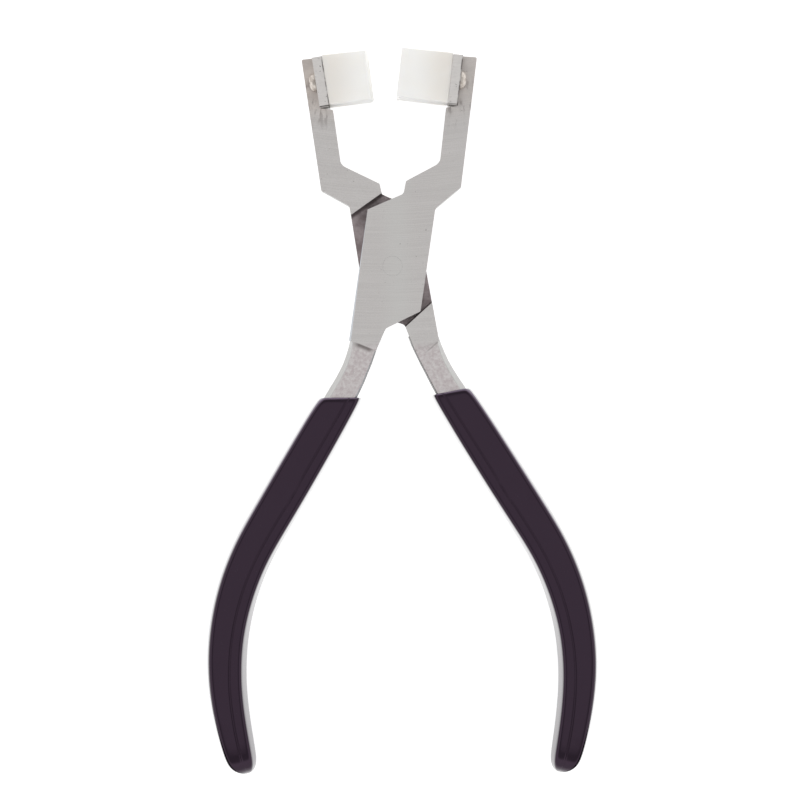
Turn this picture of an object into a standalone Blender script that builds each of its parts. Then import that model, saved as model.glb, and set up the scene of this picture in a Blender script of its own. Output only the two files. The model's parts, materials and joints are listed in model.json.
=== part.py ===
"""Running pliers: two lapped steel halves on a flush rivet, with screwed nylon pads and dipped grips.

The tool lies flat, with +Y towards the jaws, +X to its right and +Z up. The origin is on the
surface that it lies on, below the middle of its box. Lengths are in metres. The two halves are the
same forging, ground and bent by hand, so a few of their corners differ. Each is laid out from its
own side with its jaw to the right, and the back one is then turned over about the long axis.
"""

import math

import bmesh
import bpy
import numpy as np
from mathutils import Matrix, Vector

# Depths, along Z
JOINT_DEPTH = 0.0090
JAW_DEPTH = 0.0180
LAP_GAP = 0.0001
PIVOT_Y = 0.0303
MIDDLE_Z = JAW_DEPTH / 2

# The corners of a half in order round its outline, as (x, y, fillet radius) from the pivot
FRONT_CORNERS = {
    "arm_top": (0.01835, 0.04275, 0.0003),
    "seat_top": (0.01549, 0.04300, 0.0),
    "seat_foot": (0.01415, 0.03280, 0.0),
    "ledge_end": (0.01175, 0.03250, 0.0002),
    "inner_elbow": (0.01025, 0.02110, 0.0020),
    "throat_upper": (0.00315, 0.01750, 0.0006),
    "throat_lower": (0.00260, 0.01490, 0.0009),
    "plate_top": (-0.00490, 0.01180, 0.0002),
    "knee": (-0.00930, -0.01520, 0.0),
    "tang_root": (-0.00385, -0.01750, 0.0),
    "crotch": (-0.00175, -0.01285, 0.0016),
    "plate_foot": (0.00560, -0.00950, 0.0005),
    "shoulder": (0.00910, 0.01170, 0.0009),
    "outer_elbow": (0.01450, 0.01600, 0.0003),
}
BACK_CORNERS = FRONT_CORNERS | {
    "arm_top": (0.01790, 0.04300, 0.0003),
    "seat_top": (0.01574, 0.04320, 0.0),
    "seat_foot": (0.01431, 0.03290, 0.0),
    "ledge_end": (0.01165, 0.03250, 0.0002),
    "throat_upper": (0.00230, 0.01705, 0.0005),
    "throat_lower": (0.00190, 0.01500, 0.0005),
    "knee": (-0.00930, -0.01560, 0.0),
    "tang_root": (-0.00430, -0.01750, 0.0),
    "crotch": (-0.00225, -0.01210, 0.0012),
    "shoulder": (0.00865, 0.01255, 0.0008),
    "outer_elbow": (0.01440, 0.01590, 0.0003),
}
SIDE_CHAMFER = 0.0004

# Lines where a half steps down to let the other half's plate turn, each drawn past both edges,
# and how far out the recess between them is cut
JAW_STEP = ((0.0111, 0.0089), (0.0002, 0.0163))
TANG_STEP = ((-0.0102, -0.0058), (-0.0003, -0.0145))
RECESS_REACH = 0.020

# A tang and its grip follow one chain of arcs: (length, turn away from the middle in degrees)
GRIP_ARCS = ((0.0343, 0.0), (0.0374, -39.5), (0.0300, -15.6))
FRONT_HANDLE = {
    "start": (-0.0061, -0.0152),
    "heading": 14.5,
    "arcs": ((0.0113, 16.8), *GRIP_ARCS),
    "mouth": 0.0129,
    "mouth_slant": 30.0,
    "end": 0.0971,
}
BACK_HANDLE = {
    "start": (-0.0064, -0.0156),
    "heading": 20.5,
    "arcs": ((0.0112, 10.6), *GRIP_ARCS),
    "mouth": 0.0117,
    "mouth_slant": 21.0,
    "end": 0.0979,
}
TANG_START = -0.0020
TANG_END = 0.0900
BARE_LENGTH = 0.0140
GRIP_ROUNDING = 0.0042
TIP_SKEW = 0.0010
GRIP_CORNER = 0.0011
GRIP_OUTER_DRAFT = 0.0012
GRIP_OUTER_CURVE = 0.0160
GRIP_INNER_CURVE = 0.0020
TANG_CURVE = 0.0020
MOUTH_ROUNDING = 0.0005
MOUTH_SHRINK = 0.9
DIP_CLEARANCE = 0.00015

# Rivet, ground flush at both ends
RIVET_RADIUS = 0.00175
RIVET_HEAD_RADIUS = 0.0020
RIVET_FLARE = 0.0010
RUNNING_FIT = 0.00005

# Backing plates and pads, in the frame of the seat: +Y up the seat, -X towards the other jaw
SEAT_GAP = 0.00012
PLATE_THICKNESS = 0.00185
PLATE_LOW = 0.00015
PLATE_HIGH = 0.01035
PAD_LOW = 0.00028
PAD_HIGH = 0.01058
PAD_DRAFT = 0.00008
PAD_GAP = 0.0001
CONVEX_PAD_THICKNESS = 0.0094
CONCAVE_PAD_THICKNESS = 0.0107
# The convex pad is cut out of square: its ends slope, and it's thicker at the top
CONVEX_PAD_SLOPE = 2.4
CONVEX_PAD_TAPER = 0.0003
PAD_CURVE_RADIUS = 0.070

# Pan-head screws
SCREW_OFFSET = 0.0066
SCREW_RADIUS = 0.0010
SCREW_REACH = 0.0075
HEAD_RADIUS = 0.00185
HEAD_HEIGHT = 0.0013
HEAD_RIM = 0.00035
RECESS_WIDTH = 0.00045
RECESS_LENGTH = 0.0020
RECESS_DEPTH = 0.0006
SCREW_CLEARANCE = 0.00005
# The left pad's screws aren't driven home, so their heads stand off its plate
LOOSE_SCREW_GAP = 0.00015

OVERCUT = 0.001


def remove_everything():
    """Clear the scene's objects."""
    for obj in list(bpy.data.objects):
        bpy.data.objects.remove(obj, do_unlink=True)


def material(name, color, roughness, metallic):
    """A plain Principled material."""
    result = bpy.data.materials.new(name)
    result.use_nodes = True
    shader = result.node_tree.nodes["Principled BSDF"]
    shader.inputs["Base Color"].default_value = (*color, 1)
    shader.inputs["Roughness"].default_value = roughness
    shader.inputs["Metallic"].default_value = metallic
    result.diffuse_color = (*color, 1)
    return result


def empty(name, location, rotation=(0, 0, 0), parent=None):
    """A frame that other objects are placed in."""
    result = bpy.data.objects.new(name, None)
    result.empty_display_size = 0.005
    result.location = location
    result.rotation_euler = rotation
    result.parent = parent
    bpy.context.collection.objects.link(result)
    return result


def object_from(name, bm, parent=None, finish=None):
    """Turn a bmesh into a smooth-shaded object with sharp edges where it turns a corner."""
    bmesh.ops.recalc_face_normals(bm, faces=bm.faces)
    mesh = bpy.data.meshes.new(name)
    bm.to_mesh(mesh)
    bm.free()
    mesh.shade_smooth()
    mesh.set_sharp_from_angle(angle=math.radians(30))
    result = bpy.data.objects.new(name, mesh)
    bpy.context.collection.objects.link(result)
    result.parent = parent
    if finish:
        mesh.materials.append(finish)
    return result


def copy_of(source, name, parent):
    """A second object on the same mesh, in another frame, with the same Booleans."""
    result = bpy.data.objects.new(name, source.data)
    bpy.context.collection.objects.link(result)
    result.parent = parent
    result.matrix_local = source.matrix_local.copy()
    return result


def boolean(obj, other, operation):
    """Join or cut with a hidden helper, and apply it, so that a copy can share the mesh."""
    other.hide_render = True
    other.display_type = "WIRE"
    modifier = obj.modifiers.new(other.name, "BOOLEAN")
    modifier.operation = operation
    modifier.object = other
    modifier.solver = "EXACT"
    bpy.context.view_layer.update()
    graph = bpy.context.evaluated_depsgraph_get()
    mesh = bpy.data.meshes.new_from_object(obj.evaluated_get(graph))
    obj.modifiers.clear()
    mesh.name = obj.name
    obj.data = mesh
    bpy.data.objects.remove(other, do_unlink=True)


def rounded(corners, largest_turn=15, fixed_steps=0):
    """Points of a closed outline whose corners (x, y, radius) are rounded by arcs."""
    points = []
    for index, (x, y, radius) in enumerate(corners):
        here = Vector((x, y))
        back = (Vector(corners[index - 1][:2]) - here).normalized()
        ahead = (Vector(corners[(index + 1) % len(corners)][:2]) - here).normalized()
        if radius == 0:
            points.append(here)
            continue
        half_angle = back.angle(ahead) / 2
        turn = math.pi - 2 * half_angle
        centre = here + (back + ahead).normalized() * (radius / math.sin(half_angle))
        first = here + back * (radius / math.tan(half_angle)) - centre
        side = 1 if back.x * ahead.y - back.y * ahead.x < 0 else -1
        steps = fixed_steps or max(1, math.ceil(math.degrees(turn) / largest_turn))
        for step in range(steps + 1):
            points.append(centre + Matrix.Rotation(side * turn * step / steps, 2) @ first)
    return points


def prism(points, low, high):
    """A bmesh of an outline raised from one height to another."""
    bm = bmesh.new()
    floor = [bm.verts.new((x, y, low)) for x, y in points]
    face = bm.faces.new(floor)
    raised = bmesh.ops.extrude_face_region(bm, geom=[face])["geom"]
    top = [item for item in raised if isinstance(item, bmesh.types.BMVert)]
    bmesh.ops.translate(bm, verts=top, vec=(0, 0, high - low))
    return bm


def turned(profile, segments):
    """A bmesh turned about Z from (radius, z) points that start and end on the axis."""
    bm = bmesh.new()
    verts = [bm.verts.new((radius, 0, z)) for radius, z in profile]
    edges = [bm.edges.new(pair) for pair in zip(verts, verts[1:])]
    bmesh.ops.spin(
        bm,
        geom=verts + edges,
        axis=(0, 0, 1),
        cent=(0, 0, 0),
        steps=segments,
        angle=2 * math.pi,
    )
    bmesh.ops.remove_doubles(bm, verts=bm.verts, dist=1e-6)
    return bm


def handle_place(handle, distance):
    """Point and heading on a handle's chain of arcs, at a distance from its start."""
    point = Vector(handle["start"])
    heading = math.radians(handle["heading"])
    for length, turn in handle["arcs"]:
        turn = math.radians(turn)
        run = min(distance, length)
        part = turn * run / length
        chord = run if turn == 0 else 2 * math.sin(part / 2) * length / turn
        middle = heading + part / 2
        point += Vector((-math.sin(middle), -math.cos(middle))) * chord
        heading += part
        distance -= run
        if distance <= 0:
            break
    return point, heading


def section(width, depth, corner, outer, inner):
    """Outline across a handle as (outward, up) points, widest at mid-depth.

    Each side is given as (draft, curve): how far the lines that it is drawn from lean in towards
    the faces, and the radius that rounds them at mid-depth.
    """
    face = depth / 2
    points = []
    for sign, (draft, curve) in ((1, outer), (-1, inner)):
        crest = width / 2 + curve * (math.hypot(draft, face) / face - 1)
        side = [(crest - draft, -face, corner), (crest, 0, curve), (crest - draft, face, corner)]
        points += [(sign * out, sign * up, radius) for out, up, radius in side]
    return rounded(points, fixed_steps=3)


def tang_section(distance, clearance=0.0):
    """Section of the tang, which thins inside the grip; a clearance makes the grip's pocket."""
    stops = (0.0, 0.0020, 0.0060, 0.0120, 0.0250, TANG_END)
    width = np.interp(distance, stops, (0.0059, 0.0057, 0.0055, 0.0059, 0.0060, 0.0044))
    depth = np.interp(distance, stops, (0.0084, 0.0084, 0.0082, 0.0080, 0.0078, 0.0060))
    corner = np.interp(distance, stops, (0.0002, 0.0002, 0.0003, 0.0004, 0.0008, 0.0008))
    outer_draft = np.interp(distance, (0.0, 0.0030, 0.0120), (0.0003, 0.0009, 0.0011))
    inner_draft = np.interp(distance, (0.0120, 0.0450, 0.0700), (0.0002, 0.0005, 0.0010))
    spread = 2 * clearance
    sides = ((outer_draft, TANG_CURVE), (inner_draft, TANG_CURVE))
    return section(width + spread, depth + spread, corner + clearance, *sides)


def grip_section(handle, distance, shrink=1.0):
    """Section of the dipped grip, full at the palm, and shrunk by a factor at its rounded tip."""
    tip = handle["end"] - GRIP_ROUNDING
    stops = (0.012, 0.020, 0.032, 0.045, 0.060, 0.075, 0.086, tip)
    widths = (0.0081, 0.0087, 0.0089, 0.0089, 0.0087, 0.0084, 0.0077, 0.0069)
    depths = (0.0094, 0.0096, 0.0098, 0.0100, 0.0100, 0.0097, 0.0090, 0.0078)
    width = np.interp(distance, stops, widths) * shrink
    depth = np.interp(distance, stops, depths) * shrink
    inner_draft = np.interp(distance, (0.035, 0.060, 0.070), (0.0004, 0.0008, 0.0011)) * shrink
    outer = (GRIP_OUTER_DRAFT * shrink, GRIP_OUTER_CURVE * shrink)
    return section(width, depth, GRIP_CORNER * shrink, outer, (inner_draft, GRIP_INNER_CURVE * shrink))


def tip_shrink(handle, distance):
    """How much of the grip's full section is left at a distance into its rounded tip."""
    tip = handle["end"] - GRIP_ROUNDING
    past = max(0.0, distance - tip) / GRIP_ROUNDING
    return math.sqrt(max(0.0, 1 - past**2))


def tip_place(handle, distance):
    """Point and heading in the rounded tip, whose outer side curves in more than its inner side."""
    point, heading = handle_place(handle, distance)
    inward = Vector((math.cos(heading), -math.sin(heading)))
    return point + inward * TIP_SKEW * (1 - tip_shrink(handle, distance)), heading


def ring(place, outline, slant=0.0):
    """An outline set across the handle; slant tilts it away from square, in degrees."""
    point, heading = place
    outward = Vector((-math.cos(heading), math.sin(heading)))
    forward = Vector((-math.sin(heading), -math.cos(heading)))
    across = outward + forward * math.tan(math.radians(slant))
    return [(*(point + across * side), up) for side, up in outline]


def loft(rings):
    """A closed bmesh through a row of rings, capped at both ends."""
    bm = bmesh.new()
    rows = [[bm.verts.new(co) for co in loop] for loop in rings]
    for low, high in zip(rows, rows[1:]):
        for index in range(len(low)):
            ahead = (index + 1) % len(low)
            bm.faces.new((low[index], low[ahead], high[ahead], high[index]))
    bm.faces.new(rows[0])
    bm.faces.new(rows[-1])
    return bm


def tang_rings(handle, start, end, clearance=0.0):
    """Rings of the tang; with a clearance they make the pocket that holds it."""
    distances = [*np.linspace(start, BARE_LENGTH, 9), *np.linspace(BARE_LENGTH, end, 16)[1:]]
    return [ring(handle_place(handle, s), tang_section(s, clearance)) for s in distances]


def chamfer_plate_sides(bm):
    """Break the long front edges of the joint plate."""
    top = JOINT_DEPTH / 2 - 1e-6
    chosen = []
    for edge in bm.edges:
        low, high = sorted((vert.co for vert in edge.verts), key=lambda co: co.y)
        if low.z > top and high.z > top and high.y - low.y > 0.015 and high.y < 0.013:
            chosen.append(edge)
    bmesh.ops.bevel(bm, geom=chosen, offset=SIDE_CHAMFER, segments=1, affect="EDGES")


def rivet_profile(clearance):
    """Half section of the rivet, from its lower end to its upper end."""
    end = JOINT_DEPTH / 2 + (OVERCUT if clearance else 0)
    face = JOINT_DEPTH / 2
    head = RIVET_HEAD_RADIUS + clearance
    shank = RIVET_RADIUS + clearance
    half = [(0, end), (head, end), (head, face), (shank, face - RIVET_FLARE)]
    if not clearance:
        half.pop(1)
    return half + [(radius, -z) for radius, z in reversed(half)]


def make_half(name, parent, corners, handle, finish):
    """One forging: joint plate, jaw arm and tang, with the lap recess and the rivet hole cut."""
    face = JOINT_DEPTH / 2
    bm = prism(rounded(list(corners.values())), -face, face)
    chamfer_plate_sides(bm)
    half = object_from(name, bm, parent, finish)

    recess = [*JAW_STEP, (-RECESS_REACH, JAW_STEP[1][1]), (-RECESS_REACH, TANG_STEP[0][1])]
    recess += [*TANG_STEP, (RECESS_REACH, TANG_STEP[1][1]), (RECESS_REACH, JAW_STEP[0][1])]
    cutter = object_from("recess", prism(recess, -face - OVERCUT, LAP_GAP / 2), parent)
    boolean(half, cutter, "DIFFERENCE")

    tang = loft(tang_rings(handle, TANG_START, TANG_END))
    boolean(half, object_from("tang", tang, parent), "UNION")

    hole = object_from("rivet_hole", turned(rivet_profile(RUNNING_FIT), 32), parent)
    boolean(half, hole, "DIFFERENCE")
    half.data.shade_smooth()
    half.data.set_sharp_from_angle(angle=math.radians(30))
    return half


def make_grip(name, parent, handle, finish):
    """A dipped PVC sleeve over the tang."""
    mouth = handle["mouth"]
    tip = handle["end"] - GRIP_ROUNDING
    slant = handle["mouth_slant"]
    rings = [
        ring(handle_place(handle, mouth), grip_section(handle, mouth, MOUTH_SHRINK), slant),
        ring(handle_place(handle, mouth + MOUTH_ROUNDING), grip_section(handle, mouth), slant),
    ]
    rounding = [tip + GRIP_ROUNDING * math.sin(math.radians(angle)) for angle in (30, 52, 70, 84)]
    for distance in [*np.linspace(mouth + 0.006, tip, 16), *rounding]:
        outline = grip_section(handle, distance, tip_shrink(handle, distance))
        rings.append(ring(tip_place(handle, distance), outline))
    grip = object_from(name, loft(rings), parent, finish)
    pocket_end = TANG_END + DIP_CLEARANCE
    pocket = loft(tang_rings(handle, mouth - 0.0035, pocket_end, DIP_CLEARANCE))
    boolean(grip, object_from("pocket", pocket, parent), "DIFFERENCE")
    grip.data.shade_smooth()
    grip.data.set_sharp_from_angle(angle=math.radians(40))
    return grip


def make_rivet(parent, finish):
    """The pivot rivet, with its ends spread and ground flush with the joint."""
    return object_from("pivot_rivet", turned(rivet_profile(0), 32), parent, finish)


def screw_heights():
    """Heights of a pad's two screws above and below the middle of the tool."""
    return (SCREW_OFFSET, -SCREW_OFFSET)


def screw_frame(height):
    """Where a screw sits in the seat's frame: under its head, with +Z out of the pad."""
    place = (-SEAT_GAP + SCREW_CLEARANCE, (PLATE_LOW + PLATE_HIGH) / 2, height)
    return Matrix.Translation(place) @ Matrix.Rotation(math.pi / 2, 4, "Y")


def drill(obj, depth_from, depth_to):
    """Drill both screw holes from one depth behind the seat to another."""
    for height in screw_heights():
        radius = SCREW_RADIUS + SCREW_CLEARANCE
        profile = [(0, -depth_from), (radius, -depth_from), (radius, -depth_to), (0, -depth_to)]
        bit = object_from("drill", turned(profile, 16), obj.parent)
        bit.matrix_local = screw_frame(height)
        boolean(obj, bit, "DIFFERENCE")


def make_plate(name, parent, finish):
    """The steel backing plate that stands in the arm's notch."""
    left, right = -SEAT_GAP - PLATE_THICKNESS, -SEAT_GAP
    corners = [(left, PLATE_LOW), (right, PLATE_LOW), (right, PLATE_HIGH), (left, PLATE_HIGH)]
    plate = object_from(name, prism(corners, -JAW_DEPTH / 2, JAW_DEPTH / 2), parent, finish)
    drill(plate, -OVERCUT, PLATE_THICKNESS + OVERCUT)
    return plate


def make_pad(name, parent, thickness, bulge, finish, slope=0.0, taper=0.0):
    """A nylon block whose working face curves across the jaw: bulge +1 is convex, -1 concave.

    The ends slope down towards the other jaw, in degrees, and the taper is how much thicker the
    block is at its top than at its foot.
    """
    back = -SEAT_GAP - PLATE_THICKNESS - PAD_GAP
    half_depth = JAW_DEPTH / 2
    rise = PAD_CURVE_RADIUS - math.sqrt(PAD_CURVE_RADIUS**2 - half_depth**2)
    section = [(back, -half_depth), (back, half_depth)]
    for height in np.linspace(half_depth, -half_depth, 13):
        sag = PAD_CURVE_RADIUS - math.sqrt(PAD_CURVE_RADIUS**2 - height**2)
        inset = sag if bulge > 0 else rise - sag
        section.append((back - thickness + inset, height))
    bm = bmesh.new()
    ends = []
    fall = math.tan(math.radians(slope))
    for foot, lean, growth in ((PAD_LOW, PAD_DRAFT, -taper / 2), (PAD_HIGH, -PAD_DRAFT, taper / 2)):
        rows = []
        for x, z in section:
            reach = (back - x) * (1 + growth / thickness)
            rows.append((back - reach, foot + lean * reach / thickness - fall * reach, z))
        ends.append([bm.verts.new(co) for co in rows])
    for index in range(len(section)):
        ahead = (index + 1) % len(section)
        bm.faces.new((ends[0][index], ends[0][ahead], ends[1][ahead], ends[1][index]))
    bm.faces.new(ends[0])
    bm.faces.new(ends[1])
    pad = object_from(name, bm, parent, finish)
    drill(pad, PLATE_THICKNESS - OVERCUT, SCREW_REACH + SCREW_CLEARANCE)
    return pad


def make_screw(name, parent, finish):
    """A pan-head screw with a cross recess, its head's underside at the origin."""
    dome = HEAD_HEIGHT - HEAD_RIM
    profile = [(0, HEAD_HEIGHT)]
    for angle in (30, 55, 75, 90):
        turn = math.radians(angle)
        profile.append((HEAD_RADIUS * math.sin(turn), HEAD_RIM + dome * math.cos(turn)))
    profile += [(HEAD_RADIUS, 0), (SCREW_RADIUS, 0), (SCREW_RADIUS, -SCREW_REACH), (0, -SCREW_REACH)]
    screw = object_from(name, turned(profile, 20), parent, finish)
    for length, width in ((RECESS_LENGTH, RECESS_WIDTH), (RECESS_WIDTH, RECESS_LENGTH)):
        x, y = length / 2, width / 2
        corners = [(-x, -y), (x, -y), (x, y), (-x, y)]
        slot = prism(corners, HEAD_HEIGHT - RECESS_DEPTH, HEAD_HEIGHT + OVERCUT)
        boolean(screw, object_from("slot", slot, parent), "DIFFERENCE")
    screw.data.shade_smooth()
    screw.data.set_sharp_from_angle(angle=math.radians(40))
    return screw


def seat_frame(name, parent, corners):
    """The frame of a jaw's seat, at the foot of the notch and leaning with it."""
    foot = Vector(corners["seat_foot"][:2])
    top = Vector(corners["seat_top"][:2])
    lean = math.atan2(top.x - foot.x, top.y - foot.y)
    return empty(name, (foot.x, foot.y, 0), (0, 0, -lean), parent)


def place_screws(names, seat, source, standing=0.0):
    """Put a pad's two screws in the seat's frame, with their heads standing off by a gap."""
    for name, height in zip(names, screw_heights()):
        screw = source if source.name == name else copy_of(source, name, seat)
        screw.parent = seat
        screw.matrix_local = screw_frame(height) @ Matrix.Translation((0, 0, standing))


def main():
    remove_everything()
    steel = material("ground_steel", (0.66, 0.65, 0.64), 0.38, 1.0)
    plate_steel = material("plate_steel", (0.60, 0.59, 0.58), 0.45, 1.0)
    screw_steel = material("screw_steel", (0.80, 0.77, 0.72), 0.25, 1.0)
    nylon = material("nylon", (0.88, 0.87, 0.83), 0.45, 0.0)
    vinyl = material("dipped_vinyl", (0.028, 0.016, 0.028), 0.22, 0.0)

    pivot = (0, PIVOT_Y, MIDDLE_Z)
    front_frame = empty("front_frame", pivot)
    hinge = empty("hinge", pivot)
    back_frame = empty("back_frame", (0, 0, 0), (0, math.pi, 0), hinge)

    make_half("front_half", front_frame, FRONT_CORNERS, FRONT_HANDLE, steel)
    make_half("back_half", back_frame, BACK_CORNERS, BACK_HANDLE, steel)
    make_rivet(front_frame, steel)

    make_grip("left_grip", front_frame, FRONT_HANDLE, vinyl)
    make_grip("right_grip", back_frame, BACK_HANDLE, vinyl)

    right_seat = seat_frame("right_seat", front_frame, FRONT_CORNERS)
    left_seat = seat_frame("left_seat", back_frame, BACK_CORNERS)
    plate = make_plate("right_jaw_plate", right_seat, plate_steel)
    copy_of(plate, "left_jaw_plate", left_seat)
    make_pad("concave_pad", right_seat, CONCAVE_PAD_THICKNESS, -1, nylon)
    cut = (CONVEX_PAD_SLOPE, CONVEX_PAD_TAPER)
    make_pad("convex_pad", left_seat, CONVEX_PAD_THICKNESS, 1, nylon, *cut)

    screw = make_screw("right_front_screw", right_seat, screw_steel)
    place_screws(("right_front_screw", "right_rear_screw"), right_seat, screw)
    # The left seat's frame is turned over, so its first height is at the rear.
    place_screws(("left_rear_screw", "left_front_screw"), left_seat, screw, LOOSE_SCREW_GAP)


main()
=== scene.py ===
"""The finished look of a pair of nylon-jaw running pliers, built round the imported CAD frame.

The steel, plate, pad, grip and screw solids are copied, their edges are eased, and each copy gets a
procedural material. Lengths are in metres, in the frame of the CAD model.
"""

import json
import math

import bmesh
import bpy
import numpy as np
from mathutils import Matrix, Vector


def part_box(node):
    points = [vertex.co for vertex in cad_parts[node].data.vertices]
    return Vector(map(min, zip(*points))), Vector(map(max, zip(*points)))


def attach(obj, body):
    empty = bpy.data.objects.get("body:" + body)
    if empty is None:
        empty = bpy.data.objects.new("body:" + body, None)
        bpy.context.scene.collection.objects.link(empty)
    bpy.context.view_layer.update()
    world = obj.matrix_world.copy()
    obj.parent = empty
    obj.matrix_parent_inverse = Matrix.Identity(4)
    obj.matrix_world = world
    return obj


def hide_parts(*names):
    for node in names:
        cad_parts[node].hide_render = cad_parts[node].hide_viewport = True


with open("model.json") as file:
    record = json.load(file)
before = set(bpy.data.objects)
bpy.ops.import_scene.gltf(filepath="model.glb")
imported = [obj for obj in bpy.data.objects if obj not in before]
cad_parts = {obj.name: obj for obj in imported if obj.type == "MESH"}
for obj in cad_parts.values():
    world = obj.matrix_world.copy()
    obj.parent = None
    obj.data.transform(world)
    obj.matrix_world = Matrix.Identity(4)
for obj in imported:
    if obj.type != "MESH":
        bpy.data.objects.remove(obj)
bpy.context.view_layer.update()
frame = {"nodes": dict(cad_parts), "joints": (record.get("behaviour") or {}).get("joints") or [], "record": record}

PIVOT = Vector(frame["joints"][0]["pos_m"])
JOINT_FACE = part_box("pivot_rivet")[1].z
KNEE = PIVOT.y - 0.0165
SEAT_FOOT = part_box("right_jaw_plate")[0].y

# Lines of the halves relative to the pivot, as drawn for the front half; the back one is mirrored
JAW_STEP = ((0.0111, 0.0089), (0.0002, 0.0163))
TANG_STEP = ((-0.0102, -0.0058), (-0.0003, -0.0145))
FRONT_CREASE = ((-0.0096, -0.0149), (-0.0041, -0.0172))
BACK_CREASE = ((-0.0108, -0.0143), (-0.0060, -0.0182))

# The middle line of a handle: where it starts from the pivot, its heading, and its arcs as
# (length, turn away from the middle), in degrees; and where a crease runs beside that line
HANDLE_ARCS = ((0.0343, 0.0), (0.0374, -39.5), (0.0300, -15.6))
HANDLES = {
    "left": ((-0.0061, -0.0152), 14.5, ((0.0113, 16.8), *HANDLE_ARCS)),
    "right": ((-0.0064, -0.0156), 20.5, ((0.0112, 10.6), *HANDLE_ARCS)),
}
LINE_POINTS = 120
CREASE_STOPS = (0.010, 0.045, 0.065, 0.090)
CREASE_OFFSETS = (-0.0021, -0.0020, -0.0014, -0.0003)

# Points closer than this are one, faces that meet flatter than this are one, and edges sharper
# than this are eased
WELD = 0.000002
FLAT = math.radians(0.6)
SHARP = math.radians(25)

# How far the edges are eased
STEEL_EASE = 0.00012
RIVET_EASE = 0.00002
SCREW_EASE = 0.00010
PAD_EASE = 0.00018

# The rivet's ends are hammered out until they nearly close on the hole
RIVET_SPREAD = 1.02

# A backing plate's thickness, and the slits closed at its outer face, its inner face and its foot
PLATE_THICKNESS = 0.00185
OUTER_SLIT = 0.00011
INNER_SLIT = 0.00009
FOOT_SLIT = 0.00013
FOOT_BAND = 0.0002

# Which face of a plate the painted seam shade follows, 1 for the outer and -1 for the inner, and how
# dark the painted shadow at its foot is
PLATE_SEAM_SHADE = {"left": (-1, 0.95), "right": (1, 0.60)}

# The concave pad is skimmed to this part of its depth, which leaves room for its eased tips
PAD_SKIM = 0.9985

# Camera
CAMERA_TARGET = (PIVOT.x + 0.00097, PIVOT.y - 0.02771)
CAMERA_HEIGHT = 1.37
FIELD_WIDTH = 0.16528
CAMERA_ROLL = math.radians(-1.2)
SENSOR = 36.0

# The floor's half width, how far it lies below the tool, and its own glow
FLOOR_REACH = 1.5
FLOOR_GAP = 0.00002
FLOOR_GLOW = 0.82

# Brightness of the tent round the tool by the sine of the elevation, 0 at the horizon and below
TENT_LEVELS = ((0.0, 0.95), (0.55, 1.12), (0.74, 1.2), (0.84, 0.5), (0.93, 0.45), (0.975, 0.92))


def node_mesh(name, merge):
    """A smooth-shaded copy of a CAD node's mesh, welded, with its triangles merged by merge."""
    mesh = frame["nodes"][name].data.copy()
    bm = bmesh.new()
    bm.from_mesh(mesh)
    bmesh.ops.remove_doubles(bm, verts=bm.verts, dist=WELD)
    merge(bm)
    bm.to_mesh(mesh)
    bm.free()
    mesh.shade_smooth()
    return mesh


def merge_flat(bm):
    """Make each flat area a single face again."""
    bmesh.ops.dissolve_limit(bm, angle_limit=FLAT, verts=bm.verts, edges=bm.edges)


def merge_pairs(bm):
    """Join triangles into four-sided faces, which subdivide smoothly."""
    bmesh.ops.join_triangles(
        bm,
        faces=bm.faces,
        angle_face_threshold=math.radians(35),
        angle_shape_threshold=math.radians(60),
    )


def body_of_node(name):
    return next(b for b, nodes in frame["record"]["behaviour"]["bodies"].items() if name in nodes)


def finished_piece(name, node, finish, mesh):
    """Link a piece that stands for a CAD node and rides on the node's body."""
    mesh.name = name
    mesh.materials.clear()
    mesh.materials.append(finish)
    piece = bpy.data.objects.new(name, mesh)
    bpy.context.scene.collection.objects.link(piece)
    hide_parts(node)
    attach(piece, body_of_node(node))
    return piece


def eased_copy(name, node, finish, width, segments=2):
    """A copy of a CAD node with its edges eased by a small bevel."""
    piece = finished_piece(name, node, finish, node_mesh(node, merge_flat))
    bevel = piece.modifiers.new("eased_edges", "BEVEL")
    bevel.width = width
    bevel.segments = segments
    bevel.limit_method = "ANGLE"
    bevel.angle_limit = SHARP
    weighted = piece.modifiers.new("flat_faces", "WEIGHTED_NORMAL")
    weighted.keep_sharp = True
    return piece


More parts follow.
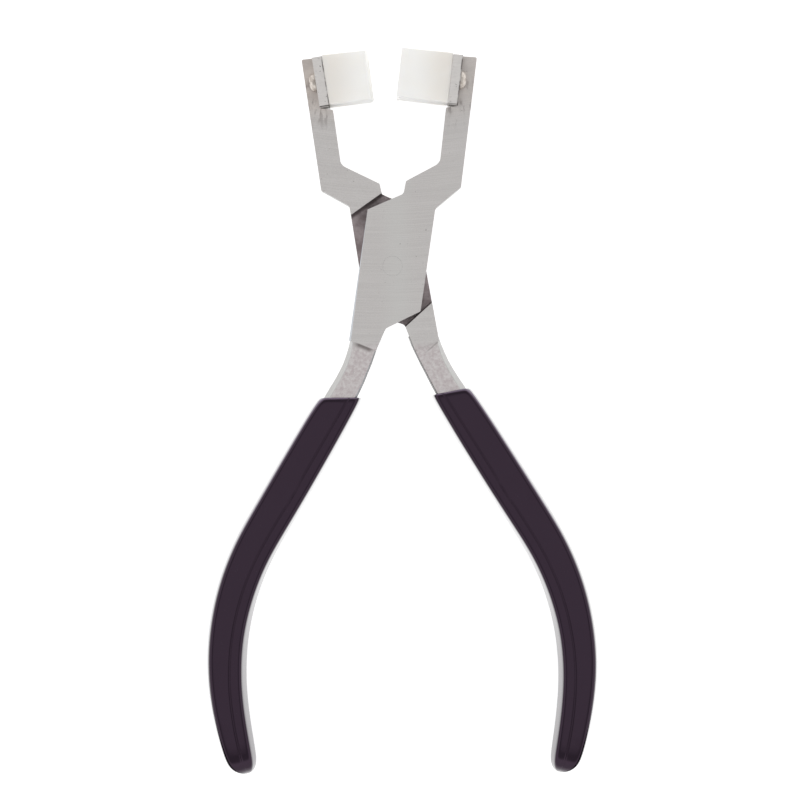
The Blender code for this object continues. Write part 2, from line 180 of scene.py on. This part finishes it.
class Tree:
    """A material's node tree, with short calls for the nodes used here."""

    def __init__(self, name, **constants):
        self.material = bpy.data.materials.new(name)
        self.material.use_nodes = True
        self.tree = self.material.node_tree
        self.shader = self.tree.nodes["Principled BSDF"]
        for socket, value in constants.items():
            self.shader.inputs[socket.replace("_", " ")].default_value = value
        coords = self.add("ShaderNodeTexCoord")
        self.place = coords.outputs["Object"]
        self.facing = coords.outputs["Normal"]
        self.x, self.y, self.z = self.parts(self.place)

    def add(self, kind, **settings):
        node = self.tree.nodes.new(kind)
        for key, value in settings.items():
            setattr(node, key, value)
        return node

    def link(self, source, target):
        if isinstance(source, (int, float, tuple)):
            target.default_value = source
        else:
            self.tree.links.new(source, target)

    def parts(self, vector):
        """A vector's three parts."""
        node = self.add("ShaderNodeSeparateXYZ")
        self.link(vector, node.inputs[0])
        return node.outputs

    def math(self, operation, *values):
        node = self.add("ShaderNodeMath", operation=operation)
        for value, socket in zip(values, node.inputs):
            self.link(value, socket)
        return node.outputs[0]

    def product(self, first, *others):
        for other in others:
            first = self.math("MULTIPLY", first, other)
        return first

    def ramp(self, value, start, end, low=0.0, high=1.0):
        """A smooth step of value from start to end."""
        node = self.add("ShaderNodeMapRange", interpolation_type="SMOOTHSTEP")
        for item, socket in zip((value, start, end, low, high), node.inputs):
            self.link(item, socket)
        return node.outputs[0]

    def upright(self):
        """How squarely a face lies up or down, from 0 to 1."""
        return self.math("ABSOLUTE", self.parts(self.facing)[2])

    def along(self, start, direction):
        """How far a point lies from start along a direction, in plan."""
        east = self.math("SUBTRACT", self.x, start.x)
        north = self.math("SUBTRACT", self.y, start.y)
        run = self.math("MULTIPLY", east, direction.x)
        return self.math("MULTIPLY_ADD", north, direction.y, run)

    def beside(self, line, mirror):
        """How far a point lies to the right of a line of the halves, and how far along it."""
        first, second = (PIVOT.xy + Vector((x * mirror, y)) for x, y in line)
        heading = (second - first).normalized()
        return self.along(first, Vector((heading.y, -heading.x))), self.along(first, heading)

    def noise(self, scale, detail=3.0, roughness=0.55, vector=None, seed=0.0):
        """Noise with its own scale along each axis, in waves per metre."""
        mapping = self.add("ShaderNodeMapping")
        self.link(vector or self.place, mapping.inputs["Vector"])
        mapping.inputs["Scale"].default_value = scale
        mapping.inputs["Location"].default_value = (seed, seed * 0.7, seed * 1.3)
        node = self.add("ShaderNodeTexNoise")
        node.inputs["Scale"].default_value = 1.0
        node.inputs["Detail"].default_value = detail
        node.inputs["Roughness"].default_value = roughness
        self.link(mapping.outputs[0], node.inputs["Vector"])
        return node.outputs["Fac"]

    def mix(self, factor, first, second):
        node = self.add("ShaderNodeMix", data_type="RGBA")
        self.link(factor, node.inputs["Factor"])
        self.link(first, node.inputs["A"])
        self.link(second, node.inputs["B"])
        return node.outputs["Result"]

    def bumps(self, *layers):
        """Stack bump nodes, each given as (height, distance, strength)."""
        normal = None
        for height, distance, strength in layers:
            node = self.add("ShaderNodeBump")
            node.inputs["Distance"].default_value = distance
            node.inputs["Strength"].default_value = strength
            self.link(height, node.inputs["Height"])
            if normal:
                self.link(normal, node.inputs["Normal"])
            normal = node.outputs[0]
        self.link(normal, self.shader.inputs["Normal"])

    def finish(self, color, roughness):
        self.link(color, self.shader.inputs["Base Color"])
        self.link(roughness, self.shader.inputs["Roughness"])
        return self.material


def rgb(red, green, blue):
    return (red, green, blue, 1.0)


def bowed_place(t, bow, tilt):
    """Object coordinates whose Y follows grinding lines that bow and tilt across the tool."""
    x_squared = t.math("MULTIPLY", t.x, t.x)
    lines = t.math("SUBTRACT", t.y, t.math("MULTIPLY", x_squared, bow))
    lines = t.math("SUBTRACT", lines, t.math("MULTIPLY", t.x, tilt))
    join = t.add("ShaderNodeCombineXYZ")
    t.link(t.x, join.inputs[0])
    t.link(lines, join.inputs[1])
    t.link(t.z, join.inputs[2])
    return join.outputs[0]


def ground_color_and_highlight(t, place, lines, cloud, grain, seed):
    """Satin grey, darker in the grinding lines, with a painted highlight (a pale sheen) down the middle of the
    joint.
    """
    broad = t.noise((25, 420, 200), 2, 0.5, place, seed + 3)
    color = t.mix(cloud, rgb(0.606, 0.584, 0.574), rgb(0.650, 0.629, 0.617))
    color = t.mix(t.ramp(lines, 0.32, 0.68, 0.28, 0.0), color, rgb(0.44, 0.42, 0.41))
    color = t.mix(t.ramp(grain, 0.40, 0.70, 0.0, 0.30), color, rgb(0.78, 0.76, 0.75))
    color = t.mix(t.ramp(broad, 0.55, 0.75, 0.0, 0.08), color, rgb(0.50, 0.485, 0.475))
    # Painted highlight: a paler band down the middle of the joint, standing for a streak of reflection
    off_middle = t.math("ABSOLUTE", t.math("SUBTRACT", t.x, 0.0010))
    return t.mix(t.ramp(off_middle, 0.0045, 0.0, 0.0, 0.35), color, rgb(0.665, 0.670, 0.650))


def mottled_tang(t, color, tang, seed):
    """Rougher, pinker mottling on the tangs below the knee."""
    mottle = t.noise((1300, 1300, 1300), 4, 0.7, seed=seed + 15)
    mottled = t.mix(t.ramp(mottle, 0.3, 0.7), rgb(0.56, 0.500, 0.505), rgb(0.72, 0.690, 0.685))
    return t.mix(tang, color, mottled)


def stained_arms(t, color, blotch, seed):
    """A brown tint up the arms, streaks of stain round the feet of the plates, and dark specks."""
    arm_top = t.ramp(t.y, SEAT_FOOT - 0.0045, SEAT_FOOT + 0.0030)
    tint = t.mix(t.ramp(blotch, 0.35, 0.65), rgb(0.68, 0.600, 0.540), rgb(0.52, 0.455, 0.415))
    left_more = t.ramp(t.x, -0.001, 0.001, 0.65, 0.35)
    color = t.mix(t.product(arm_top, left_more), color, tint)
    streaks = t.ramp(t.noise((900, 260, 500), 3, 0.6, seed=seed + 13), 0.50, 0.66)
    above = t.ramp(t.y, SEAT_FOOT - 0.0060, SEAT_FOOT - 0.0003)
    below = t.ramp(t.y, SEAT_FOOT + 0.0065, SEAT_FOOT + 0.0040)
    color = t.mix(t.product(above, streaks, below, 0.6), color, rgb(0.22, 0.19, 0.18))
    specks = t.noise((1500, 1500, 1500), 2, 0.5, seed=seed + 11)
    return t.mix(t.ramp(specks, 0.73, 0.77, 0.0, 0.55), color, rgb(0.18, 0.16, 0.15))


def painted_side_shade_and_chamfer_light(t, color):
    """Painted shade on the sides, most of all on those that face in, and painted highlights on the joint plates'
    chamfers.

    The left chamfer gets a painted bluish reflection. The right one gets a painted white highlight with a painted
    dark outer rim.
    """
    upright = t.upright()
    across = t.math("MULTIPLY", t.parts(t.facing)[0], t.math("SIGN", t.x))
    inward = t.ramp(across, -0.1, -0.4)
    # Painted shade: faces darker the more steeply they stand, most of all those that face in
    side_shade_color = t.mix(inward, rgb(0.500, 0.495, 0.485), rgb(0.24, 0.235, 0.235))
    color = t.mix(t.ramp(upright, 0.98, 0.90), color, side_shade_color)
    # Painted highlight on the chamfers: a bluish reflection on the left, white with a painted dark rim on the
    # right
    chamfer = t.product(
        t.ramp(upright, 0.62, 0.68),
        t.ramp(upright, 0.79, 0.73),
        t.ramp(t.y, PIVOT.y + 0.0125, PIVOT.y + 0.0115),
    )
    rim = t.ramp(t.z, JOINT_FACE - 0.00040, JOINT_FACE - 0.00024)
    right_chamfer_light = t.mix(rim, rgb(0.22, 0.215, 0.21), rgb(0.95, 0.95, 0.95))
    chamfer_light_color = t.mix(t.ramp(t.x, -0.001, 0.001), rgb(0.54, 0.56, 0.59), right_chamfer_light)
    return t.mix(chamfer, color, chamfer_light_color)


def knee_crease_shade(t, color, mirror, line, width, depth):
    """Painted shade in the hammered crease where the tang leaves the joint plate."""
    off, run = t.beside(line, mirror)
    off = t.math("MULTIPLY", off, mirror)
    # Painted shade along the crease; depth sets how dark it is
    crease = t.product(
        t.ramp(off, -0.0001, 0.00015),
        t.ramp(off, width, width * 0.35),
        t.ramp(run, 0.0012, 0.0028),
        t.ramp(run, 0.0062, 0.0046),
        depth,
    )
    return t.mix(crease, color, rgb(0.16, 0.135, 0.13))


def lap_area(t):
    """The lap faces, which lie at mid-depth between the joint's two ground faces."""
    depth = t.math("ABSOLUTE", t.math("SUBTRACT", t.z, PIVOT.z))
    return t.product(t.ramp(depth, 0.0008, 0.0002), t.ramp(t.upright(), 0.6, 0.9))


def lap_finish_and_shade(t, color, lap, blotch, mirror):
    """Rough lap faces, dark partly from their unground finish and partly from painted shade of the recess, with a
    painted shadow along their steps.
    """
    lap_color_and_shade = t.mix(t.ramp(blotch, 0.3, 0.7), rgb(0.48, 0.420, 0.430), rgb(0.31, 0.260, 0.265))
    jaw_off = t.math("ABSOLUTE", t.beside(JAW_STEP, mirror)[0])
    tang_off = t.math("ABSOLUTE", t.beside(TANG_STEP, mirror)[0])
    nearest = t.math("MINIMUM", jaw_off, t.math("MULTIPLY", tang_off, 2))
    # Painted shadow, darkest next to the jaw and tang steps
    lap_color_and_shade = t.mix(t.ramp(nearest, 0.0009, 0.0003, 0.0, 0.70), lap_color_and_shade, rgb(0.07, 0.05, 0.05))
    return t.mix(lap, color, lap_color_and_shade)


def ground_steel(name, mirror, tilt, seed, crease):
    """Satin ground steel: fine bowed grinding lines, a rough lap darkened by its finish and by painted shade,
    painted shade on the sides and in the knee crease, painted highlights, and stains by the pads.
    """
    t = Tree(name, Metallic=1.0)
    place = bowed_place(t, 4.0, tilt)
    lines = t.noise((60, 4600, 700), 4, 0.6, place, seed)
    cloud = t.noise((130, 130, 130), 3, 0.55, seed=seed + 5)
    grain = t.noise((5200, 5200, 5200), 2, 0.6, seed=seed + 7)
    blotch = t.noise((420, 420, 420), 4, 0.6, seed=seed + 9)
    tang = t.ramp(t.y, KNEE + 0.0012, KNEE - 0.0012)
    lap = lap_area(t)

    color = ground_color_and_highlight(t, place, lines, cloud, grain, seed)
    color = mottled_tang(t, color, tang, seed)
    color = stained_arms(t, color, blotch, seed)
    color = painted_side_shade_and_chamfer_light(t, color)
    color = knee_crease_shade(t, color, mirror, *crease)
    color = lap_finish_and_shade(t, color, lap, blotch, mirror)

    roughness = t.math("ADD", t.ramp(lines, 0.3, 0.7, 0.05, -0.03), t.ramp(cloud, 0.3, 0.7, 0.36, 0.42))
    roughness = t.math("ADD", roughness, t.math("MULTIPLY", tang, 0.08))
    roughness = t.math("ADD", roughness, t.math("MULTIPLY", lap, 0.25))
    t.bumps(
        (lines, 0.00002, 0.55),
        (grain, 0.00001, 0.35),
        (t.math("MULTIPLY", blotch, t.math("ADD", tang, lap)), 0.00010, 0.35),
    )
    return t.finish(color, roughness)


def plate_steel(side, foot, up, outward):
    """Sawn steel plate, paler than the halves, with pits, painted shade along one long seam and a painted shadow
    at its foot.
    """
    shaded_face, foot_shade_strength = PLATE_SEAM_SHADE[side]
    t = Tree(f"{side}_plate_finish", Metallic=1.0)
    lines = t.noise((900, 3000, 300), 3, 0.6)
    blotch = t.noise((600, 600, 600), 4, 0.6, seed=4)
    pits = t.noise((1900, 1900, 1900), 2, 0.5, seed=9)
    color = t.mix(blotch, rgb(0.79, 0.765, 0.745), rgb(0.70, 0.675, 0.655))
    color = t.mix(t.ramp(lines, 0.35, 0.65, 0.15, 0.0), color, rgb(0.50, 0.48, 0.47))
    color = t.mix(t.ramp(pits, 0.66, 0.71, 0.0, 0.7), color, rgb(0.14, 0.12, 0.12))
    off_middle = t.math("ADD", t.along(foot, outward), PLATE_THICKNESS / 2)
    # Painted shade along the closed seam on one face, patchy
    seam_shade = t.ramp(t.math("MULTIPLY", off_middle, shaded_face), 0.00072, 0.00098)
    patchy = t.ramp(t.noise((450, 450, 450), 3, 0.6, seed=14), 0.36, 0.58, 0.15, 0.95)
    color = t.mix(t.product(seam_shade, patchy), color, rgb(0.05, 0.035, 0.035))
    # Painted shadow at the plate's foot, over the closed slit at the ledge
    at_foot = t.ramp(t.along(foot, up), 0.00015, 0.0)
    foot_shadow = t.product(at_foot, t.ramp(t.upright(), 0.35, 0.70), foot_shade_strength)
    color = t.mix(foot_shadow, color, rgb(0.02, 0.015, 0.015))
    t.bumps((lines, 0.00002, 0.5), (pits, 0.00003, 0.3))
    return t.finish(color, t.ramp(blotch, 0.3, 0.7, 0.40, 0.50))


def screw_steel():
    """Nickel-plated screws with a little tarnish."""
    t = Tree("screw_finish", Metallic=1.0)
    blotch = t.noise((1100, 1100, 1100), 3, 0.6)
    fine = t.noise((6000, 6000, 6000), 2, 0.5, seed=3)
    color = t.mix(t.ramp(blotch, 0.40, 0.70), rgb(0.66, 0.61, 0.56), rgb(0.42, 0.37, 0.33))
    t.bumps((fine, 0.00001, 0.3), (blotch, 0.00004, 0.25))
    return t.finish(color, t.ramp(blotch, 0.3, 0.7, 0.30, 0.40))


def nylon():
    """Milky cast nylon, with painted shade, a little yellower, towards the plates, standing for the screws and
    plate seen through it.
    """
    t = Tree(
        "nylon_finish",
        Subsurface_Weight=0.35,
        Subsurface_Radius=(0.9, 0.85, 0.75),
        Subsurface_Scale=0.0022,
        IOR=1.53,
    )
    cloud = t.noise((260, 260, 260), 3, 0.5)
    marks = t.noise((700, 2600, 700), 3, 0.6, seed=5)
    fine = t.noise((4200, 4200, 4200), 2, 0.5, seed=8)
    specks = t.noise((1300, 1300, 1300), 1, 0.5, seed=21)
    middle = (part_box("right_jaw_plate")[0].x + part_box("left_jaw_plate")[1].x) / 2
    reach = t.math("ABSOLUTE", t.math("SUBTRACT", t.x, middle))
    # Painted shade: darker and yellower away from the mouth, towards the plates and screws behind the nylon
    plate_shade = t.ramp(reach, 0.0050, 0.0125)
    color = t.mix(plate_shade, rgb(0.940, 0.930, 0.905), rgb(0.82, 0.785, 0.735))
    color = t.mix(t.ramp(cloud, 0.35, 0.70, 0.0, 0.25), color, rgb(0.88, 0.86, 0.83))
    color = t.mix(t.ramp(specks, 0.785, 0.81, 0.0, 0.30), color, rgb(0.35, 0.31, 0.28))
    t.bumps((marks, 0.00002, 0.35), (fine, 0.00001, 0.25))
    return t.finish(color, t.ramp(marks, 0.3, 0.7, 0.36, 0.48))


def dipped_vinyl():
    """Glossy near-black plum vinyl, slightly rippled, with dust, faint rub marks, a painted highlight on the lip
    and painted shade in the crease.
    """
    t = Tree("vinyl_finish", IOR=1.5, Specular_Tint=(1.0, 0.68, 1.0, 1.0), Coat_IOR=1.8)
    ripple = t.noise((140, 140, 140), 2, 0.45)
    peel = t.noise((900, 900, 900), 2, 0.5, seed=4)
    dust = t.noise((5200, 5200, 5200), 2, 0.5, seed=6)
    rub = t.noise((300, 300, 300), 4, 0.65, seed=8)
    color = t.mix(ripple, rgb(0.0022, 0.0014, 0.0026), rgb(0.0034, 0.0020, 0.0040))
    color = t.mix(t.ramp(dust, 0.74, 0.80, 0.0, 0.35), color, rgb(0.20, 0.18, 0.19))

    # The sides are glossier than the faces, which lie on the bench and against the palm
    t.link(t.ramp(t.upright(), 0.75, 0.30), t.shader.inputs["Coat Weight"])

    # A painted highlight on the rounded lip round the sleeve's mouth
    _, north, up = t.parts(t.facing)
    lip_highlight = t.product(t.ramp(north, 0.30, 0.55), t.ramp(up, 0.15, 0.40), 0.85)
    color = t.mix(lip_highlight, color, rgb(0.17, 0.14, 0.19))

    # A moulded crease, with painted shade darkest at its bottom
    beside = t.add("ShaderNodeAttribute", attribute_name="beside_crease").outputs["Fac"]
    near = t.math("ABSOLUTE", beside)
    color = t.mix(t.ramp(near, 0.40, 0.10, 0.0, 0.8), color, rgb(0.0015, 0.0005, 0.0015))
    t.bumps(
        (t.ramp(near, 0.05, 0.45), 0.00006, 1.0),
        (ripple, 0.0006, 0.10),
        (peel, 0.00006, 0.10),
        (dust, 0.00001, 0.2),
    )
    return t.finish(color, t.math("ADD", t.ramp(rub, 0.45, 0.75, 0.0, 0.10), 0.10))


def plate_frame(node):
    """A plate's outer foot corner, the way up along it, and the outward way across it, in plan."""
    mesh = frame["nodes"][node].data
    side = math.copysign(1, sum(vert.co.x for vert in mesh.vertices))
    foot = min((vert.co.xy for vert in mesh.vertices), key=lambda co: co.y)
    top = max((vert.co.xy for vert in mesh.vertices), key=lambda co: side * co.x)
    up = (top - foot).normalized()
    return foot, up, Vector((up.y, -up.x)) * side


def seated_plate(side):
    """A plate bedded on the arm, the ledge and the pad, with the slits between them closed."""
    node = f"{side}_jaw_plate"
    foot, up, outward = plate_frame(node)
    finish = plate_steel(side, foot, up, outward)
    piece = eased_copy(f"{side}_backing_plate", node, finish, STEEL_EASE)
    for vert in piece.data.vertices:
        out = (vert.co.xy - foot).dot(outward)
        high = (vert.co.xy - foot).dot(up)
        shift = Vector((0, 0))
        if out > -PLATE_THICKNESS / 4:
            shift += outward * OUTER_SLIT
        if out < -PLATE_THICKNESS * 3 / 4:
            shift -= outward * INNER_SLIT
        if high < FOOT_BAND:
            shift -= up * FOOT_SLIT
        vert.co.xy += shift


def handle_line(side):
    """Points of a handle's middle line with their outward directions and distances along it."""
    start, heading, arcs = HANDLES[side]
    point = Vector(start)
    heading = math.radians(heading)
    mirror = 1 if side == "left" else -1
    step = sum(length for length, _ in arcs) / LINE_POINTS
    rows = []
    distance = 0.0
    for length, turn in arcs:
        steps = round(length / step)
        for _ in range(steps):
            middle = heading + math.radians(turn) / steps / 2
            point = point + Vector((-math.sin(middle), -math.cos(middle))) * length / steps
            heading += math.radians(turn) / steps
            distance += length / steps
            place = PIVOT.xy + Vector((point.x * mirror, point.y))
            outward = Vector((-math.cos(heading) * mirror, math.sin(heading)))
            rows.append((place, outward, distance))
    return rows


def mark_crease(mesh, side):
    """Store how far each point of a sleeve lies beside its crease, in millimetres."""
    rows = handle_line(side)
    beside = mesh.attributes.new("beside_crease", "FLOAT", "POINT")
    for index, vert in enumerate(mesh.vertices):
        flat = vert.co.xy
        place, outward, distance = min(rows, key=lambda row: (flat - row[0]).length)
        offset = np.interp(distance, CREASE_STOPS, CREASE_OFFSETS)
        beside.data[index].value = ((flat - place).dot(outward) - offset) * 1000


def dipped_sleeve(side, finish):
    """The dipped sleeve as a smooth skin over the CAD solid, with a crease along its faces."""
    node = f"{side}_grip"
    mesh = node_mesh(node, merge_pairs)
    mark_crease(mesh, side)
    piece = finished_piece(f"{side}_dipped_sleeve", node, finish, mesh)
    smooth = piece.modifiers.new("smooth_skin", "SUBSURF")
    smooth.levels = smooth.render_levels = 2


def forgings_and_rivet():
    """Both halves, each with its own grinding lines and painted crease shade, and the rivet ground flush."""
    front_crease_shade = (FRONT_CREASE, 0.0011, 0.72)
    back_crease_shade = (BACK_CREASE, 0.0004, 0.40)
    front_steel = ground_steel("front_steel_finish", 1, 0.0, 2.0, front_crease_shade)
    back_steel = ground_steel("back_steel_finish", -1, -0.04, 31.0, back_crease_shade)
    eased_copy("front_forging", "front_half", front_steel, STEEL_EASE)
    eased_copy("back_forging", "back_half", back_steel, STEEL_EASE)
    rivet = eased_copy("flush_rivet", "pivot_rivet", front_steel, RIVET_EASE)
    for vert in rivet.data.vertices:
        vert.co.xy = PIVOT.xy + (vert.co.xy - PIVOT.xy) * RIVET_SPREAD


def nylon_pads():
    finish = nylon()
    concave = eased_copy("concave_nylon_pad", "concave_pad", finish, PAD_EASE, 3)
    for vert in concave.data.vertices:
        vert.co.z = PIVOT.z + (vert.co.z - PIVOT.z) * PAD_SKIM
    eased_copy("convex_nylon_pad", "convex_pad", finish, PAD_EASE, 3)


def make_pieces():
    forgings_and_rivet()
    screws = screw_steel()
    vinyl = dipped_vinyl()
    for side in ("left", "right"):
        seated_plate(side)
        dipped_sleeve(side, vinyl)
        for end in ("front", "rear"):
            node = f"{side}_{end}_screw"
            eased_copy(f"{side}_{end}_pan_head", node, screws, SCREW_EASE)
    nylon_pads()


def floor_slope():
    """The tilt of the surface that the pads' lower ends and the handles' tips rest on."""
    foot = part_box("concave_pad")[0].y
    slope = math.inf
    for name in ("left_grip", "right_grip"):
        mesh = frame["nodes"][name].data
        places = np.empty(len(mesh.vertices) * 3)
        mesh.vertices.foreach_get("co", places)
        places = places.reshape(-1, 3)
        slope = min(slope, float((places[:, 2] / (foot - places[:, 1])).min()))
    return foot, math.atan(slope)


def make_floor():
    """A plain pale sheet that lights the tool's sides from below."""
    foot, tilt = floor_slope()
    bm = bmesh.new()
    bmesh.ops.create_grid(bm, x_segments=1, y_segments=1, size=FLOOR_REACH)
    mesh = bpy.data.meshes.new("floor")
    bm.to_mesh(mesh)
    bm.free()
    floor = bpy.data.objects.new("floor", mesh)
    bpy.context.scene.collection.objects.link(floor)
    floor.rotation_euler.x = -tilt
    floor.location = (0, foot, -FLOOR_GAP)
    t = Tree("floor_paper", Emission_Color=(1, 1, 1, 1), Emission_Strength=FLOOR_GLOW)
    speckle = t.noise((900, 900, 900), 2)
    t.finish(t.mix(speckle, rgb(0.43, 0.43, 0.43), rgb(0.46, 0.46, 0.46)), 0.9)
    mesh.materials.append(t.material)


def make_world():
    """A soft white tent, dimmer in a ring just off the vertical."""
    world = bpy.data.worlds.new("soft_tent")
    bpy.context.scene.world = world
    world.use_nodes = True
    tree = world.node_tree
    background = tree.nodes["Background"]
    coords = tree.nodes.new("ShaderNodeTexCoord")
    split = tree.nodes.new("ShaderNodeSeparateXYZ")
    ramp = tree.nodes.new("ShaderNodeValToRGB")
    tree.links.new(coords.outputs["Generated"], split.inputs[0])
    tree.links.new(split.outputs[2], ramp.inputs["Fac"])
    tree.links.new(ramp.outputs["Color"], background.inputs["Color"])
    elements = ramp.color_ramp.elements
    while len(elements) < len(TENT_LEVELS):
        elements.new(0.5)
    for element, (position, level) in zip(elements, TENT_LEVELS):
        element.position = position
        element.color = (level, level, level, 1)
    background.inputs["Strength"].default_value = 1.0


def make_camera():
    data = bpy.data.cameras.new("camera")
    data.sensor_width = SENSOR
    data.lens = SENSOR * CAMERA_HEIGHT / FIELD_WIDTH
    data.clip_start = 0.05
    data.clip_end = 10
    camera = bpy.data.objects.new("camera", data)
    bpy.context.scene.collection.objects.link(camera)
    camera.location = (*CAMERA_TARGET, JOINT_FACE + CAMERA_HEIGHT)
    camera.rotation_euler = (0, 0, CAMERA_ROLL)
    bpy.context.scene.camera = camera


make_camera()
make_pieces()
make_floor()
make_world()
bpy.context.scene.view_settings.view_transform = "Standard"
